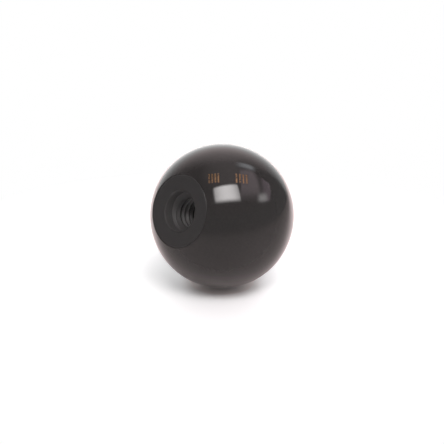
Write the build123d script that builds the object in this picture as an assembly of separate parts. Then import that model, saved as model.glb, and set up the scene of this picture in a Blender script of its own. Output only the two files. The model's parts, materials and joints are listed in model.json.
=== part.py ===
from build123d import *
import os
from math import sqrt, tan, radians

# A ball knob, moulded in one piece from black phenolic, that screws on to the end of a lever.
# Millimetres, +Z up. The bore lies along Y with its mouth facing -Y, and the origin is the
# centre of the flat seat, so the whole ball stands behind the XZ plane.

# The ball and the flat seat that is pulled up against the lever's shoulder
BALL_DIAMETER = 38.1
SEAT_DIAMETER = 19.05
RIM_RADIUS = 0.5

# The plain recess round the mouth, which takes the neck of the lever
RECESS_DIAMETER = 10.3
RECESS_DEPTH = 2.8
RECESS_EDGE_BREAK = 0.4

# The lead-in cone and the blind bore of a 3/8 in, 16 threads per inch stud. The wall stands at
# the crests of the thread, and the land is what is left of the recess's floor round the cone.
THREAD_CREST_DIAMETER = 7.94
THREAD_MAJOR_DIAMETER = 9.525
LEAD_IN_CLEARANCE = 0.17
LEAD_IN_HALF_ANGLE = 45.0
BORE_DEPTH = 17.5

# The chamfered tip that the core pin leaves at the bottom of the bore
CORE_TIP_CHAMFER = 0.8


def ball_depth(ball_radius, seat_radius):
    """How far the ball's centre stands behind a flat of this radius."""
    return sqrt(ball_radius**2 - seat_radius**2)


def lead_in_depth():
    """Length of the cone that runs from just over the stud's own radius down to the crests."""
    wide = THREAD_MAJOR_DIAMETER / 2 + LEAD_IN_CLEARANCE
    return (wide - THREAD_CREST_DIAMETER / 2) / tan(radians(LEAD_IN_HALF_ANGLE))


def ball_section():
    """Half of the ball with its flat: X is the distance from the axis, Y the depth."""
    ball_radius = BALL_DIAMETER / 2
    seat_radius = SEAT_DIAMETER / 2
    centre = ball_depth(ball_radius, seat_radius)
    with BuildSketch() as half:
        with BuildLine():
            Polyline((0, centre + ball_radius), (0, 0), (seat_radius, 0))
            ThreePointArc((seat_radius, 0), (ball_radius, centre), (0, centre + ball_radius))
        make_face()
        rim = half.vertices().group_by(Axis.Y)[0].sort_by(Axis.X)[-1]
        fillet(rim, RIM_RADIUS)
    return half.sketch


def bore_section():
    """Half of the recess with its broken edge, the lead-in cone and the blind bore."""
    recess = RECESS_DIAMETER / 2
    wide = THREAD_MAJOR_DIAMETER / 2 + LEAD_IN_CLEARANCE
    crest = THREAD_CREST_DIAMETER / 2
    with BuildSketch() as half:
        with BuildLine():
            Polyline(
                (recess + RECESS_EDGE_BREAK, 0),
                (recess, RECESS_EDGE_BREAK),
                (recess, RECESS_DEPTH),
                (wide, RECESS_DEPTH),
                (crest, RECESS_DEPTH + lead_in_depth()),
                (crest, BORE_DEPTH - CORE_TIP_CHAMFER),
                (crest - CORE_TIP_CHAMFER, BORE_DEPTH),
                (0, BORE_DEPTH),
                (0, 0),
                close=True,
            )
        make_face()
    return half.sketch


def ball_knob():
    """The whole moulding: the section with the bore taken out of it, turned about the bore's axis."""
    knob = revolve(ball_section() - bore_section(), Axis.Y)
    knob.label = "ball_knob"
    return knob


os.makedirs("parts", exist_ok=True)
export_step(ball_knob(), "parts/ball_knob.step")
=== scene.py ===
import json
from math import asin, cos, pi, radians, sin, sqrt, tan

import bmesh
import bpy
import numpy as np
from mathutils import Matrix, Vector


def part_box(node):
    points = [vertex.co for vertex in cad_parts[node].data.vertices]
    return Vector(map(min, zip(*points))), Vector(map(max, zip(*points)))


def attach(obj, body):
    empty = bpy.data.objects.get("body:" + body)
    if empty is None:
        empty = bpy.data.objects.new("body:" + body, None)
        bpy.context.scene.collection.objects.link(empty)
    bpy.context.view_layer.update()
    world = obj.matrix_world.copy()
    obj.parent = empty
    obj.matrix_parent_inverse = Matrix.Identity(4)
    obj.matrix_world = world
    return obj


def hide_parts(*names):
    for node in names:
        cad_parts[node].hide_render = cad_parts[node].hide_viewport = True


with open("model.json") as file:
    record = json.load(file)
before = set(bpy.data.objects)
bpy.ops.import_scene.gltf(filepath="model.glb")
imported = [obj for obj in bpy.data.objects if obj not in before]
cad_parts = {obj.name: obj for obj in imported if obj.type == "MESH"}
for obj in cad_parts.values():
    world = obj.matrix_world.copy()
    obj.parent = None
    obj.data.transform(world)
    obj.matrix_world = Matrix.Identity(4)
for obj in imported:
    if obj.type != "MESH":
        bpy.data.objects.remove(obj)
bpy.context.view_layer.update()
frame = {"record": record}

# The ball knob's moulding: one solid piece of black phenolic, pressed round a threaded core pin
# that was then screwed out. Its seat meets the lever's shoulder, its recess the neck and its thread
# the stud, and the mould's insert left a shallow witness groove near the rim of the seat.
MM = 0.001
node_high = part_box("ball_knob")[1]
mount_sizes = {mount["name"]: mount["dims"] for mount in frame["record"]["mounts"]}
BALL_RADIUS = node_high.x
BALL_CENTRE = Vector((0, node_high.y - BALL_RADIUS, 0))
RIM_RADIUS = 0.5 * MM
WITNESS_RADIUS = 9.18 * MM
WITNESS_DEPTH = 0.12 * MM
WITNESS_WIDTH = 0.20 * MM
WITNESS_WALL = 0.03 * MM
WITNESS_CORNER = 0.02 * MM
WITNESS_EDGE = 0.1 * MM
RECESS_RADIUS = mount_sizes["neck_recess"]["r_mm"] * MM
RECESS_DEPTH = 2.8 * MM
RECESS_EDGE = 0.4 * MM
RECESS_CORNER = 0.15 * MM
THREAD_CREST_RADIUS = mount_sizes["thread"]["r_mm"] * MM
THREAD_ROOT_RADIUS = 9.525 / 2 * MM
THREAD_PITCH = 25.4 / 16 * MM
THREAD_FLANK_ANGLE = radians(30)
THREAD_ROOT_FLAT = THREAD_PITCH / 8
THREAD_EDGE = 0.05 * MM
THREAD_END = 15.9 * MM
THREAD_START = 0.27 * MM
LEAD_IN_CLEARANCE = 0.17 * MM
LEAD_IN_ANGLE = radians(45)
LEAD_IN_EDGE = 0.08 * MM
BORE_DEPTH = 17.5 * MM
CORE_TIP_CHAMFER = 0.8 * MM
CORE_TIP_EDGE = 0.2 * MM
SEAT_MARGIN = 0.12 * MM
COLUMNS = 216
BALL_ROWS = 121
RIM_ROWS = 13
WELD = 0.001 * MM


def rounded(before, corner, after, radius, steps=4):
    """The arc that rounds one corner of a profile, as rows of two coordinates.

    It touches both sides at radius / tan(half the corner's angle), and runs from start to end as
    centre + (sin((1 - t) turn) start + sin(t turn) end) / sin(turn), for t from 0 to 1."""
    before, corner, after = (np.array(point, float) for point in (before, corner, after))
    back = (before - corner) / np.linalg.norm(before - corner)
    ahead = (after - corner) / np.linalg.norm(after - corner)
    half = np.arccos(back @ ahead) / 2
    turn = pi - 2 * half
    centre = corner + (back + ahead) / np.linalg.norm(back + ahead) * radius / np.sin(half)
    start = corner + back * radius / np.tan(half) - centre
    end = corner + ahead * radius / np.tan(half) - centre
    t = np.linspace(0, 1, steps + 1)[:, None]
    return centre + (np.sin((1 - t) * turn) * start + np.sin(t * turn) * end) / np.sin(turn)


def outer_profile():
    """Rows of (radius, depth) from the back of the ball to the top of the thread.

    The ball is (R sin a, centre + R cos a) from a = 0 at its back to where the rim's smaller arc
    carries on in the same direction. The seat with its witness groove, the recess and the lead-in
    are straight runs between arcs, and a row at SEAT_MARGIN from the recess keeps the seat flat."""
    seat_radius = sqrt((BALL_RADIUS - RIM_RADIUS) ** 2 - (BALL_CENTRE.y - RIM_RADIUS) ** 2)
    rim_start = pi - asin(seat_radius / (BALL_RADIUS - RIM_RADIUS))
    a = np.linspace(0, rim_start, BALL_ROWS)
    ball = np.stack([BALL_RADIUS * np.sin(a), BALL_CENTRE.y + BALL_RADIUS * np.cos(a)], axis=1)
    a = np.linspace(rim_start, pi, RIM_ROWS)[1:]
    rim = np.stack([seat_radius + RIM_RADIUS * np.sin(a), RIM_RADIUS * (1 + np.cos(a))], axis=1)
    witness = [
        (seat_radius, 0),
        (WITNESS_RADIUS + WITNESS_WIDTH, 0),
        (WITNESS_RADIUS + WITNESS_WALL, WITNESS_DEPTH),
        (WITNESS_RADIUS, 0),
        (RECESS_RADIUS + RECESS_EDGE + SEAT_MARGIN, 0),
    ]
    edge = (RECESS_RADIUS, 0)
    corner = (RECESS_RADIUS, RECESS_DEPTH)
    mouth = (THREAD_ROOT_RADIUS + LEAD_IN_CLEARANCE, RECESS_DEPTH)
    cone_end = (THREAD_ROOT_RADIUS, RECESS_DEPTH + LEAD_IN_CLEARANCE / tan(LEAD_IN_ANGLE))
    return np.vstack([
        ball,
        rim,
        rounded(*witness[0:3], WITNESS_CORNER),
        rounded(*witness[1:4], WITNESS_CORNER),
        rounded(*witness[2:5], WITNESS_EDGE, steps=6),
        witness[-1:],
        rounded(witness[-1], edge, corner, RECESS_EDGE, steps=6),
        rounded(edge, corner, mouth, RECESS_CORNER),
        rounded(corner, mouth, cone_end, LEAD_IN_EDGE),
        [cone_end],
    ])


def thread_profile():
    """One pitch of the thread as rows of (distance along the bore, radius): the flat crest, a
    flank, the flat root and the other flank, with each corner rounded."""
    flank = (THREAD_ROOT_RADIUS - THREAD_CREST_RADIUS) * tan(THREAD_FLANK_ANGLE)
    crest_end = THREAD_PITCH - 2 * flank - THREAD_ROOT_FLAT
    corners = [
        (0, THREAD_CREST_RADIUS),
        (crest_end, THREAD_CREST_RADIUS),
        (crest_end + flank, THREAD_ROOT_RADIUS),
        (THREAD_PITCH - flank, THREAD_ROOT_RADIUS),
        (THREAD_PITCH, THREAD_CREST_RADIUS),
        (THREAD_PITCH + crest_end, THREAD_CREST_RADIUS),
    ]
    turns = zip(corners, corners[1:], corners[2:])
    return np.vstack([rounded(*three, THREAD_EDGE, steps=3) for three in turns])


def thread_rows(angle, start, end):
    """Radius and depth of the threaded wall, one row for each line of the thread's profile.

    A row climbs one pitch a turn: depth = place in the profile + THREAD_START + pitch * angle /
    (2 pi). Lines past the start or the end collapse on to it. The radius is the profile's at that
    depth, faded to the plain core over the last pitch, or the lead-in cone's if that is wider."""
    along, radius = thread_profile().T
    pitches = np.arange(np.floor(start / THREAD_PITCH) - 2, np.ceil(end / THREAD_PITCH) + 1)
    places = (along + THREAD_PITCH * pitches[:, None]).ravel()[:, None]
    climb = THREAD_START + THREAD_PITCH * angle / (2 * pi)
    depth = np.clip(places + climb, start, end)
    groove = np.interp(depth - climb, along, radius, period=THREAD_PITCH) - THREAD_CREST_RADIUS
    runout = np.clip((end - depth) / THREAD_PITCH, 0, 1)
    cone = THREAD_ROOT_RADIUS - (depth - start) * tan(LEAD_IN_ANGLE)
    wall = THREAD_CREST_RADIUS + groove * runout * runout * (3 - 2 * runout)
    return np.maximum(wall, cone), depth


def inner_profile():
    """Rows of (radius, depth) for the end of the bore, which has the core pin's chamfered tip."""
    wall = (THREAD_CREST_RADIUS, THREAD_END)
    shoulder = (THREAD_CREST_RADIUS, BORE_DEPTH - CORE_TIP_CHAMFER)
    tip = (THREAD_CREST_RADIUS - CORE_TIP_CHAMFER, BORE_DEPTH)
    pole = (0, BORE_DEPTH)
    return np.vstack([
        rounded(wall, shoulder, tip, CORE_TIP_EDGE),
        rounded(shoulder, tip, pole, CORE_TIP_EDGE),
        [(tip[0] / 2, BORE_DEPTH), pole],
    ])


def knob_mesh():
    """The whole skin as one grid: x = radius sin(angle), y = depth, z = radius cos(angle).

    Its rows run from the back of the ball over the seat to the bottom of the bore, and welding
    the doubles closes the two poles and the seam, where a row of thread meets the next turn's."""
    angle = np.linspace(0, 2 * pi, COLUMNS + 1)
    outside, inside = outer_profile(), inner_profile()
    thread_radius, thread_depth = thread_rows(angle, outside[-1, 1], THREAD_END)
    level = np.ones_like(angle)
    radius = np.vstack([outside[:, :1] * level, thread_radius, inside[:, :1] * level])
    depth = np.vstack([outside[:, 1:] * level, thread_depth, inside[:, 1:] * level])
    points = np.stack([radius * np.sin(angle), depth, radius * np.cos(angle)], axis=-1)
    number = np.arange(radius.size).reshape(radius.shape)
    quads = np.stack([number[:-1, :-1], number[1:, :-1], number[1:, 1:], number[:-1, 1:]], axis=-1)
    mesh = bpy.data.meshes.new("knob")
    mesh.from_pydata(points.reshape(-1, 3), [], quads.reshape(-1, 4))
    welded = bmesh.new()
    welded.from_mesh(mesh)
    bmesh.ops.remove_doubles(welded, verts=welded.verts, dist=WELD)
    welded.to_mesh(mesh)
    welded.free()
    mesh.polygons.foreach_set("use_smooth", np.ones(len(mesh.polygons), bool))
    return mesh


knob = bpy.data.objects.new("knob", knob_mesh())
bpy.context.collection.objects.link(knob)
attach(knob, "root")
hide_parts("ball_knob")


# The phenolic's finish, in millimetres. The ball is buffed to a gloss with a faint ripple and
# hair-fine polishing lines, the seat is satin with the mould's turning rings, and the recess and
# thread are dull as moulded. Their black is painted paler, and the deep thread much paler, as
# painted light that lifts the shade inside the bore. A zone fades out between the two distances
# of its edge.
BORE_EDGE, BORE_END = (5.55, 5.65), (18, 19)
SEAT_EDGE, SEAT_BACK = (9.2, 9.35), (0.2, 0.3)
WALL_EDGE, TURNS_EDGE = (5.15, 5.25), (4.5, 7.5)
GROUND_DARK = (0.0262, 0.0243, 0.0239, 1)
GROUND_LIGHT = (0.0292, 0.0269, 0.0265, 1)
SEAT_GROUND = (0.0352, 0.0328, 0.0331, 1)
# painted light: the recess and, deeper in, the thread get a paler black than the ball, to lift the
# shade inside the bore
RECESS_GROUND_PAINTED_LIGHT = (0.0600, 0.0570, 0.0570, 1)
THREAD_GROUND_PAINTED_LIGHT = (0.2500, 0.2420, 0.2400, 1)
FLOUR_SIZE, FLOUR_LEVELS = 0.55, (0.35, 0.7)
BUFFED_ROUGHNESS = 0.05
SEAT_ROUGHNESS = 0.36
MOULDED_ROUGHNESS = 0.65
THREAD_ROUGHNESS = 0.3
PHENOLIC_IOR = 1.6
SMUDGE_SIZE, SMUDGE_LEVELS, SMUDGE_ROUGHNESS = 6.0, (0.45, 0.75), 0.02
LINE_TURNS = ((0.4, 0.9, 0.2), (1.3, 0.2, 1.1))
LINE_SCALE, LINE_LEVELS, LINE_ROUGHNESS = (9, 9, 0.35), (0.66, 0.72), 0.04
RIPPLE_SIZE, RIPPLE_HEIGHT = 3.5, 0.0005
RING_SIZE, RING_HEIGHT = 0.16, 0.0012
GRAIN_SIZE, GRAIN_HEIGHT = 0.12, 0.0012


class Shade:
    """One value, vector or shader in a node tree. Arithmetic on values adds their Math nodes, and
    node() adds a node of any kind."""

    def __init__(self, tree, socket=None):
        self.tree, self.socket = tree, socket

    def node(self, kind, settings=(), inputs=(), output=0):
        """Adds a node of this type, with its settings first and then the values or links of its
        sockets, and gives the output that is asked for."""
        made = self.tree.nodes.new(kind)
        for name, value in dict(settings).items():
            setattr(made, name, value)
        for name, value in dict(inputs).items():
            if isinstance(value, Shade):
                self.tree.links.new(value.socket, made.inputs[name])
            else:
                made.inputs[name].default_value = value
        return Shade(self.tree, made.outputs[output] if len(made.outputs) else None)

    def math(self, operation, *values):
        return self.node("ShaderNodeMath", {"operation": operation}, dict(enumerate(values)))

    def __add__(self, other):
        return self.math("ADD", self, other)

    def __sub__(self, other):
        return self.math("SUBTRACT", self, other)

    def __mul__(self, other):
        return self.math("MULTIPLY", self, other)

    def __truediv__(self, other):
        return self.math("DIVIDE", self, other)

    def __rsub__(self, other):
        return self.math("SUBTRACT", other, self)

    __radd__, __rmul__ = __add__, __mul__


def blank(owner):
    """The emptied node tree of a new material or world."""
    owner.use_nodes = True
    owner.node_tree.nodes.clear()
    return Shade(owner.node_tree)


def step(value, start, end):
    """A smooth rise from 0 where value is start to 1 where it is end."""
    settings = {"interpolation_type": "SMOOTHSTEP"}
    return value.node("ShaderNodeMapRange", settings, {0: value, 1: start, 2: end})


def mix(factor, first, second):
    """A colour between two colours."""
    settings = {"data_type": "RGBA"}
    return factor.node("ShaderNodeMix", settings, {0: factor, 6: first, 7: second}, output=2)


def noise(place, size, detail=2.0):
    """Noise from 0 to 1, with blots about this size in the place's own unit."""
    inputs = {"Vector": place, "Scale": 1 / size, "Detail": detail}
    return place.node("ShaderNodeTexNoise", {}, inputs)


def vector(operation, *values, output="Vector"):
    """Arithmetic on a place and other vectors."""
    settings = {"operation": operation}
    return values[0].node("ShaderNodeVectorMath", settings, dict(enumerate(values)), output)


def dot(place, direction):
    """How far a place lies along a direction."""
    return vector("DOT_PRODUCT", place, direction, output="Value")


def distance(place, point):
    """How far a place is from a point."""
    return vector("DISTANCE", place, point, output="Value")


# The stamped index marks on the ball: two groups of four short plain bars, pressed in with a hot
# die through gilt foil. The foil is thin and has partly rubbed away.
MARK_POLAR = (radians(41.1), radians(60.7))
MARK_TURN = (radians(34.1), radians(44.8))
MARK_PITCH = (0.78, 0.88)
MARK_COUNT = 4
MARK_HEIGHT = 2.7
MARK_STROKE = 0.40
MARK_EDGE = 0.05
MARK_DEPTH = 0.02
MARK_FACING = (0.5, 0.6)
GILT = (0.23, 0.13, 0.065, 1)
GILT_ROUGHNESS = 0.5
FOIL_SHARE, WEAR_SIZE, WEAR_LEVELS = 0.9, 0.3, (0.36, 0.5)


def around_bore(polar, turn):
    """The direction at an angle from the mouth's own, -Y, turned from +Z towards +X about it."""
    return Vector((sin(polar) * sin(turn), -cos(polar), sin(polar) * cos(turn)))


def near_zero(value, start, end):
    """1 where a value is nearer to 0 than start, falling to 0 where it is farther than end."""
    return 1 - step(value.math("ABSOLUTE", value), start, end)


def gilt_bars(place):
    """1 on the bars and 0 elsewhere. Place is in millimetres from the ball's centre.

    The two groups stand on one great circle of the ball. Across a bar, the distance from its
    middle is |fract(s / pitch) - 1/2| pitch, where s runs along that circle from the group's.
    MARK_FACING, in shares of the radius, keeps a group to its own side of the ball."""
    middles = [around_bore(*angles) for angles in zip(MARK_POLAR, MARK_TURN)]
    upward = middles[0].cross(middles[1]).normalized()
    half_height, half_stroke = MARK_HEIGHT / 2, MARK_STROKE / 2
    tall = near_zero(dot(place, upward), half_height - MARK_EDGE, half_height + MARK_EDGE)
    bars = 0
    for middle, pitch in zip(middles, MARK_PITCH):
        s = dot(place, upward.cross(middle))
        half_group = pitch * MARK_COUNT / 2
        group = near_zero(s, half_group - MARK_EDGE, half_group)
        turn = s / pitch
        across = (turn.math("FRACT", turn) - 0.5) * pitch
        bar = near_zero(across, half_stroke - MARK_EDGE, half_stroke + MARK_EDGE)
        facing = step(dot(place, middle), 0, BALL_RADIUS / MM)
        bars = bars + bar * group * step(facing, *MARK_FACING)
    return bars * tall


def phenolic():
    """The one material of the knob, with its zones told apart by their place on it. Wood flour
    mottles the black of them all, and the gilt foil lies in the pressed bars."""
    material = bpy.data.materials.new("black_phenolic")
    tree = blank(material)
    place = vector("MULTIPLY", tree.node("ShaderNodeTexCoord", output="Object"), (1 / MM,) * 3)
    depth = dot(place, (0, 1, 0))
    off_axis = vector("LENGTH", vector("MULTIPLY", place, (1, 0, 1)), output="Value")
    bore = (1 - step(off_axis, *BORE_EDGE)) * (1 - step(depth, *BORE_END))
    seat = (1 - step(depth, *SEAT_BACK)) * (1 - step(off_axis, *SEAT_EDGE)) * (1 - bore)
    inside = bore * (1 - step(off_axis, *WALL_EDGE))
    threaded = step(depth, *TURNS_EDGE) * inside

    flour = step(noise(place, FLOUR_SIZE, detail=4), *FLOUR_LEVELS)
    ground = mix(flour, GROUND_DARK, GROUND_LIGHT)
    ground = mix(seat, ground, SEAT_GROUND)
    # painted light: paler black in the recess and much paler in the deep thread, against the shade
    # in the hollow
    ground = mix(inside, ground, RECESS_GROUND_PAINTED_LIGHT)
    ground = mix(threaded, ground, THREAD_GROUND_PAINTED_LIGHT)

    smudge = step(noise(place, SMUDGE_SIZE), *SMUDGE_LEVELS)
    lines = 0
    for turn in LINE_TURNS:
        inputs = {"Vector": place, "Rotation": turn, "Scale": LINE_SCALE}
        stretched = place.node("ShaderNodeMapping", {}, inputs)
        lines = lines + step(noise(stretched, 1.0), *LINE_LEVELS)
    buffed = BUFFED_ROUGHNESS + SMUDGE_ROUGHNESS * smudge + LINE_ROUGHNESS * lines
    moulded = MOULDED_ROUGHNESS + (THREAD_ROUGHNESS - MOULDED_ROUGHNESS) * threaded
    roughness = buffed * (1 - seat - bore) + SEAT_ROUGHNESS * seat + moulded * bore

    bars = gilt_bars(vector("SUBTRACT", place, BALL_CENTRE / MM))
    foil = bars * step(noise(place, WEAR_SIZE, detail=3), *WEAR_LEVELS) * FOIL_SHARE

    ring_place = off_axis.node("ShaderNodeCombineXYZ", {}, {0: off_axis})
    ripple = noise(place, RIPPLE_SIZE, detail=1) * RIPPLE_HEIGHT
    rings = noise(ring_place, RING_SIZE, detail=1) * RING_HEIGHT * seat
    grain = noise(place, GRAIN_SIZE) * GRAIN_HEIGHT * bore
    height = ripple + rings + grain - bars * MARK_DEPTH
    bump = height.node("ShaderNodeBump", {}, {"Strength": 1.0, "Distance": MM, "Height": height})

    surface = tree.node("ShaderNodeBsdfPrincipled", {}, {
        "Base Color": mix(foil, ground, GILT),
        "Metallic": foil,
        "Roughness": roughness * (1 - foil) + GILT_ROUGHNESS * foil,
        "IOR": PHENOLIC_IOR,
        "Normal": bump,
    })
    tree.node("ShaderNodeOutputMaterial", {}, {"Surface": surface})
    return material


knob.data.materials.append(phenolic())


# The photographer's table, which is not part of the object: the knob lies on the round of its
# ball with its mouth tipped up, so in the knob's own frame the table leans. Directions in the
# studio are given as right of the camera, towards it along the table, and up from the table.
MOUTH_TIP = radians(18.8)
CAMERA_TURN = radians(43.95)
CAMERA_RISE = radians(20)
UP = Vector((0, -sin(MOUTH_TIP), cos(MOUTH_TIP)))
TOWARDS = Matrix.Rotation(CAMERA_TURN, 3, UP) @ Vector((0, -cos(MOUTH_TIP), -sin(MOUTH_TIP)))
RIGHT = TOWARDS.cross(UP).normalized() * -1


def studio(right, towards, up):
    """A direction of the studio as one of the knob's frame."""
    return RIGHT * right + TOWARDS * towards + UP * up


def card(name, corners):
    """A flat stage piece with these four corners, and a UV square from the first of them."""
    mesh = bpy.data.meshes.new(name)
    mesh.from_pydata([corner[:] for corner in corners], [], [(0, 1, 2, 3)])
    mesh.uv_layers.new().data.foreach_set("uv", (0, 0, 1, 0, 1, 1, 0, 1))
    made = bpy.data.objects.new(name, mesh)
    bpy.context.collection.objects.link(made)
    return made


# The table's colours: as the camera sees it, white with a painted shadow round the contact, as it
# lights the knob, and as the gloss shows it, a pattern of painted light and painted shadow.
# Distances are in metres. The camera sees plain white beyond WHITE_EDGE, so the table has no end.
TABLE_REACH = 0.4
TABLE_PAINTED_SHADOW = (1.00, 0.915, 0.90, 1)
TABLE_SEEN = (1.32, 1.32, 1.33, 1)
TABLE_LIT = (1.5, 1.5, 1.5, 1)
TABLE_BRIGHT = (1.53, 1.34, 1.33, 1)
TABLE_DIM = (0.40, 0.348, 0.344, 1)
TABLE_DARK = (0.03, 0.03, 0.03, 1)
TABLE_NEAR = (1.7, 1.52, 1.51, 1)
PAINTED_SHADOW_EDGE, WHITE_EDGE = (0.0075, 0.0118), (0.055, 0.10)
BRIGHT_BEHIND, BRIGHT_TURN = 0.033, radians(2)
BRIGHT_SPREAD, BRIGHT_POWER = 0.067, 7.0
DIM_SPREAD, DIM_POWER = 0.28, 3.0
SHADE_BEHIND, SHADE_SPREAD, SHADE_POWER = 0.006, 0.014, 6.0
SHADE_SHARE = 0.85
NEAR_AHEAD, NEAR_SPREAD, NEAR_POWER = 0.004, 0.0074, 2.6
WHITE = (1, 1, 1, 1)
BEHIND = -(TOWARDS * cos(BRIGHT_TURN) + RIGHT * sin(BRIGHT_TURN))
contact = BALL_CENTRE - UP * BALL_RADIUS


def fall(value, spread, power):
    """1 / (1 + (value / spread) ** power)."""
    below = 1 + value.math("POWER", value / spread, power)
    return below.math("DIVIDE", 1, below)


def table_white():
    """White to the camera, with a painted shadow, darker and warmer, round the contact; one colour
    as a source of light; and to the gloss a pattern of painted light and painted shadow.

    The gloss sees painted light on the table, bright behind the knob and falling off twice as
    1 / (1 + (s / spread) ** power), to dim and to dark. There s is the distance from a point behind
    the knob plus how far the place lies in front of that point. The table is painted dark again
    where the ball shades it, by the contact, and painted bright in the narrow wedge of light just
    in front of the contact."""
    material = bpy.data.materials.new("table")
    tree = blank(material)
    place = tree.node("ShaderNodeTexCoord", output="Object")
    seen = tree.node("ShaderNodeLightPath", output="Is Camera Ray")
    glossy = tree.node("ShaderNodeLightPath", output="Is Glossy Ray")
    away = distance(place, contact)
    middle = contact - TOWARDS * BRIGHT_BEHIND
    s = distance(place, middle) - dot(place, BEHIND) + middle.dot(BEHIND)
    from_shade = distance(place, contact - TOWARDS * SHADE_BEHIND)
    from_near = distance(place, contact + TOWARDS * NEAR_AHEAD)
    shade = SHADE_SHARE * fall(from_shade, SHADE_SPREAD, SHADE_POWER)

    # painted light and painted shadow, seen only in the ball's gloss: a bright pool behind the
    # knob, the ball's shade by the contact and a bright wedge in front of it
    gloss = mix(fall(s, DIM_SPREAD, DIM_POWER), TABLE_DARK, TABLE_DIM)
    gloss = mix(fall(s, BRIGHT_SPREAD, BRIGHT_POWER), gloss, TABLE_BRIGHT)
    gloss = mix(shade, gloss, TABLE_DARK)
    gloss = mix(fall(from_near, NEAR_SPREAD, NEAR_POWER), gloss, TABLE_NEAR)
    # painted shadow: to the camera the table is darker and warmer close round the contact
    view = mix(step(away, *PAINTED_SHADOW_EDGE), TABLE_PAINTED_SHADOW, TABLE_SEEN)
    colour = mix(seen, mix(glossy, TABLE_LIT, gloss), view)
    matt = tree.node("ShaderNodeBsdfDiffuse", {}, {"Color": colour})
    white = tree.node("ShaderNodeEmission", {}, {"Color": WHITE, "Strength": 1.0})
    far = step(away, *WHITE_EDGE) * seen
    surface = far.node("ShaderNodeMixShader", {}, {0: far, 1: matt, 2: white})
    tree.node("ShaderNodeOutputMaterial", {}, {"Surface": surface})
    return material


corners = ((-1, -1), (1, -1), (1, 1), (-1, 1))
table = card("table", [contact + studio(*corner, 0) * TABLE_REACH for corner in corners])
table.data.materials.append(table_white())


# The lights, which are not part of the object: a softbox high in front, which also shows in the
# ball's gloss as its window, two dim panels and a small lamp at the right, and a strip overhead.
# Each lights the knob with only LIT_SHARE of the strength that the gloss shows.
LIGHT_DISTANCE = 2.0
LIT_SHARE = 0.72


def light_card(name, corners, fades, colour, strength, sides=1.0, away=LIGHT_DISTANCE):
    """A glowing card that the camera doesn't see, by the studio directions of its corners. It
    fades out over these shares of its width and height, in from its left, right, top and bottom,
    and its two sides have this share of its middle's strength."""
    made = card(name, [BALL_CENTRE + studio(*corner) * away for corner in corners])
    made.visible_camera = False
    material = bpy.data.materials.new(name)
    tree = blank(material)
    square = tree.node("ShaderNodeTexCoord", output="UV")
    across, down = dot(square, (1, 0, 0)), dot(square, (0, 1, 0))
    glow = 1
    for inward, fade in zip((across, 1 - across, down, 1 - down), fades):
        glow = glow * step(inward, 0, fade)
    clear = tree.node("ShaderNodeBsdfTransparent")
    glossy = tree.node("ShaderNodeLightPath", output="Is Glossy Ray")
    bulge = sides + (1 - sides) * 4 * across * (1 - across)
    level = strength * bulge * (LIT_SHARE + (1 - LIT_SHARE) * glossy)
    bright = tree.node("ShaderNodeEmission", {}, {"Color": (*colour, 1), "Strength": level})
    surface = glow.node("ShaderNodeMixShader", {}, {0: glow, 1: clear, 2: bright})
    tree.node("ShaderNodeOutputMaterial", {}, {"Surface": surface})
    made.data.materials.append(material)


light_card(
    "softbox",
    [(-0.259, 0.4, 0.879), (0.369, 0.238, 0.899), (0.511, 0.637, 0.577), (-0.207, 0.791, 0.576)],
    fades=(0.12, 0.07, 0.16, 0.3), colour=(1, 0.965, 0.96), strength=9.4, sides=0.3)
light_card(
    "left_panel",
    [(0.304, -0.267, 0.914), (0.559, -0.451, 0.696), (0.891, 0.247, 0.382), (0.415, 0.7, 0.581)],
    fades=(0.08, 0.4, 0.2, 0.4), colour=(1.15, 0.95, 1.02), strength=0.88, away=2.3)
light_card(
    "right_panel",
    [(0.659, -0.283, 0.697), (0.807, -0.401, 0.433), (0.959, -0.001, 0.283), (0.829, 0.334, 0.448)],
    fades=(0.5, 0.1, 0.1, 0.1), colour=(1.15, 0.9, 1.05), strength=0.65)
light_card(
    "strip",
    [(0.182, -0.46, 0.869), (0.562, -0.549, 0.619), (0.63, -0.328, 0.704), (0.217, -0.202, 0.955)],
    fades=(0.5, 0.3, 0.35, 0.45), colour=(0.97, 1, 1.05), strength=1.6)
light_card(
    "lamp",
    [(0.748, 0.16, 0.644), (0.888, -0.201, 0.413), (0.958, 0.06, 0.28), (0.797, 0.424, 0.43)],
    fades=(0.4, 0.4, 0.6, 0.4), colour=(1, 0.97, 0.97), strength=2.65, away=1.7)


# The room, which is not part of the object: white to the camera, and to the ball's gloss dark in
# front, with a white backdrop behind and a pale ceiling. It lights the knob with the backdrop, a
# soft glow that is stronger at the right, and a low back light.
ROOM = 0.10
CEILING, CEILING_RIGHT, CEILING_EDGE = 0.27, 0.8, (0.86, 0.97)
BACKDROP, BACKDROP_FALL, BACKDROP_SIDES = 1.52, 1.17, (0.2, 1)
BACKDROP_END, BACKDROP_LEAN = (0.59, 0.71), 0.15
ROOM_TINT, TINT_EDGE = (1.12, 0.97, 0.97, 1), (0.2, 0.55)
SOFT_LOW, SOFT_RISE, SOFT_RIGHT, SOFT_SIDES = 0.05, 0.17, 0.41, 1.15
SOFT_BACKDROP = 1.2
BACK_LIGHT, BACK_SIDES, BACK_TOP = 9.0, (0.86, 1), (0.12, 0.58)
LEAST_LEVEL = 0.001


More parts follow.
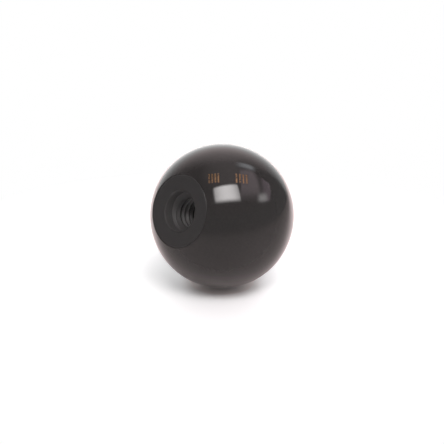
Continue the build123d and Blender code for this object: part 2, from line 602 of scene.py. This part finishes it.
def room():
    """The room by direction, with rise the sine of the angle up from the table, and behind and
    sideways the cosine and sine of the angle round from straight behind.

    The backdrop's brightness is (BACKDROP - BACKDROP_FALL rise) behind ** 3, with a soft edge at
    its two sides. On its right it ends sooner, along a line that leans with the rise."""
    world = bpy.data.worlds.new("room")
    tree = blank(world)
    path = "ShaderNodeLightPath"
    seen = tree.node(path, output="Is Camera Ray") + tree.node(path, output="Is Transmission Ray")
    glossy = tree.node(path, output="Is Glossy Ray")
    look = tree.node("ShaderNodeTexCoord", output="Generated")
    rise, right = dot(look, UP), dot(look, RIGHT)
    level_squared = 1 - rise * rise
    level = level_squared.math("SQRT", level_squared) + LEAST_LEVEL
    behind = dot(look, BEHIND) / level
    sideways = right / level - BACKDROP_LEAN * rise
    overhead = step(rise, *CEILING_EDGE)

    backdrop = (BACKDROP - BACKDROP_FALL * rise) * behind * behind * behind
    backdrop = backdrop * step(behind, *BACKDROP_SIDES) * (1 - step(sideways, *BACKDROP_END))
    backdrop = backdrop * (1 - overhead)
    gloss = ROOM + backdrop + CEILING * overhead * (1 + CEILING_RIGHT * right)
    soft = SOFT_LOW + SOFT_RISE * step(rise, 0, 1) + SOFT_RIGHT * right + SOFT_SIDES * right * right
    back_light = BACK_LIGHT * step(behind, *BACK_SIDES) * (1 - step(rise, *BACK_TOP))
    lit = soft + back_light + SOFT_BACKDROP * backdrop
    strength = seen + (1 - seen) * (glossy * gloss + (1 - glossy) * lit)
    colour = mix(glossy * step(rise, *TINT_EDGE), WHITE, ROOM_TINT)
    sky = tree.node("ShaderNodeBackground", {}, {"Color": colour, "Strength": strength})
    tree.node("ShaderNodeOutputWorld", {}, {"Surface": sky})
    return world


bpy.context.scene.world = room()


# The camera: a long lens that looks down on the table, in front and to the mouth's right.
LENS = 100
SENSOR = 36
CAMERA_DISTANCE = 0.3257
FRAME_DROP = 1.64 * MM
NEAREST = 0.01
towards_camera = studio(0, cos(CAMERA_RISE), sin(CAMERA_RISE))
frame_up = towards_camera.cross(RIGHT)
aim = Matrix((RIGHT, frame_up, towards_camera)).transposed().to_4x4()
aim.translation = BALL_CENTRE + towards_camera * CAMERA_DISTANCE - frame_up * FRAME_DROP
camera = bpy.data.objects.new("camera", bpy.data.cameras.new("camera"))
camera.data.lens = LENS
camera.data.sensor_width = SENSOR
camera.data.clip_start = NEAREST
camera.matrix_world = aim
bpy.context.collection.objects.link(camera)
bpy.context.scene.camera = camera
bpy.context.scene.view_settings.view_transform = "Standard"
